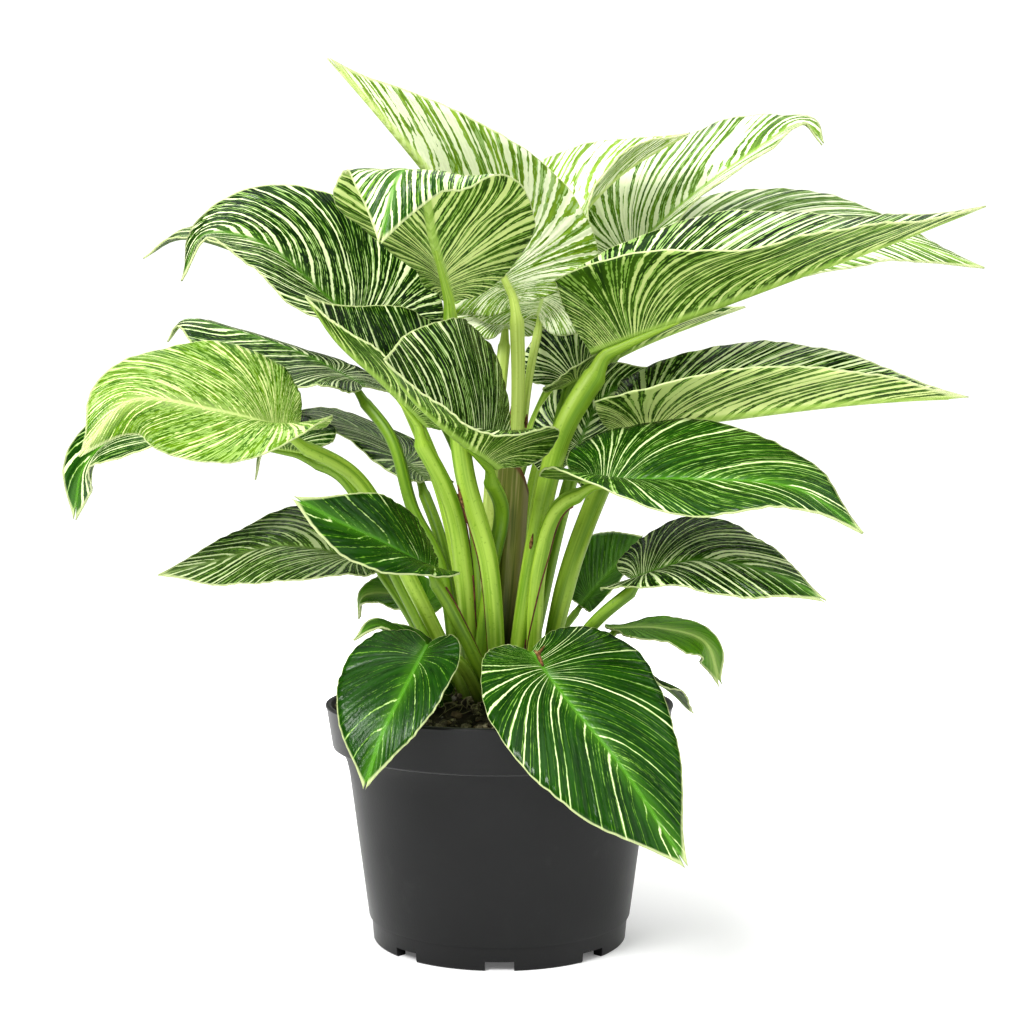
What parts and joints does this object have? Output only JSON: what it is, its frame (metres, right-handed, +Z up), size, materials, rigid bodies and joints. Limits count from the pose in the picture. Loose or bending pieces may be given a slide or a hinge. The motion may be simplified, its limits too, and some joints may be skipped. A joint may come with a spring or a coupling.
{
  "type": "potted aroid house plant",
  "caption": "Philodendron Birkin with arching heart-shaped leaves, cream pinstripes, lime stalks and a papery sheath, growing from a round plastic nursery pot of potting mix.",
  "frame": {"origin": "on the pot's axis, on the face it stands on", "axes": "+Z up, from the pot to the leaves; -Y is the plant's front, where the lowest leaves hang over the rim; +X to the right seen from the front"},
  "size_m": [0.4822, 0.2483, 0.4031],
  "materials": {
    "pot": "matte charcoal polypropylene, lightly scuffed",
    "potting_mix": "crumbly dark peat with bark, perlite and thin roots",
    "stalk": "satin lime-green leaf stalk, faintly grooved",
    "sheath": "dry papery sheath, tan flushed green and pink",
    "leaf_striped": "glossy deep green leaf with cream and lime pinstripes and a thin cream edge",
    "leaf_lime": "satin young lime leaf with fine green flecks",
    "leaf_pale": "satin newest leaf, nearly white lime with green streaks",
    "leaf_plain": "glossy plain green leaf"
  },
  "bodies": {
    "root": {"crown": "stalk", "leaf_01_blade": "leaf_pale", "leaf_01_stalk": "stalk", "leaf_02_blade": "leaf_pale", "leaf_02_stalk": "stalk", "leaf_03_blade": "leaf_striped", "leaf_03_stalk": "stalk", "leaf_04_blade": "leaf_striped", "leaf_04_stalk": "stalk", "leaf_05_blade": "leaf_striped", "leaf_05_stalk": "stalk", "leaf_06_blade": "leaf_striped", "leaf_06_stalk": "stalk", "leaf_07_blade": "leaf_striped", "leaf_07_stalk": "stalk", "leaf_08_blade": "leaf_lime", "leaf_08_stalk": "stalk", "leaf_09_blade": "leaf_striped", "leaf_09_stalk": "stalk", "leaf_10_blade": "leaf_striped", "leaf_10_stalk": "stalk", "leaf_11_blade": "leaf_striped", "leaf_11_stalk": "stalk", "leaf_12_blade": "leaf_striped", "leaf_12_stalk": "stalk", "leaf_13_blade": "leaf_striped", "leaf_13_stalk": "stalk", "leaf_14_blade": "leaf_plain", "leaf_14_stalk": "stalk", "leaf_15": "leaf_plain", "leaf_16": "leaf_striped", "leaf_17_blade": "leaf_striped", "leaf_17_stalk": "stalk", "leaf_18_blade": "leaf_striped", "leaf_18_stalk": "stalk", "leaf_19_blade": "leaf_striped", "leaf_19_stalk": "stalk", "leaf_20_blade": "leaf_striped", "leaf_20_stalk": "stalk", "leaf_21_blade": "leaf_striped", "leaf_21_stalk": "stalk", "leaf_22_blade": "leaf_striped", "leaf_22_stalk": "stalk", "leaf_23_blade": "leaf_striped", "leaf_23_stalk": "stalk", "leaf_24_blade": "leaf_striped", "leaf_24_stalk": "stalk", "leaf_25_blade": "leaf_striped", "leaf_25_stalk": "stalk", "leaf_26_blade": "leaf_striped", "leaf_26_stalk": "stalk", "leaf_27_blade": "leaf_plain", "leaf_27_stalk": "stalk", "leaf_28_blade": "leaf_plain", "leaf_28_stalk": "stalk", "leaf_29": "leaf_plain", "leaf_30": "leaf_striped", "pot": "pot", "sheath": "sheath", "soil": "potting_mix"}
  },
  "joints": []
}
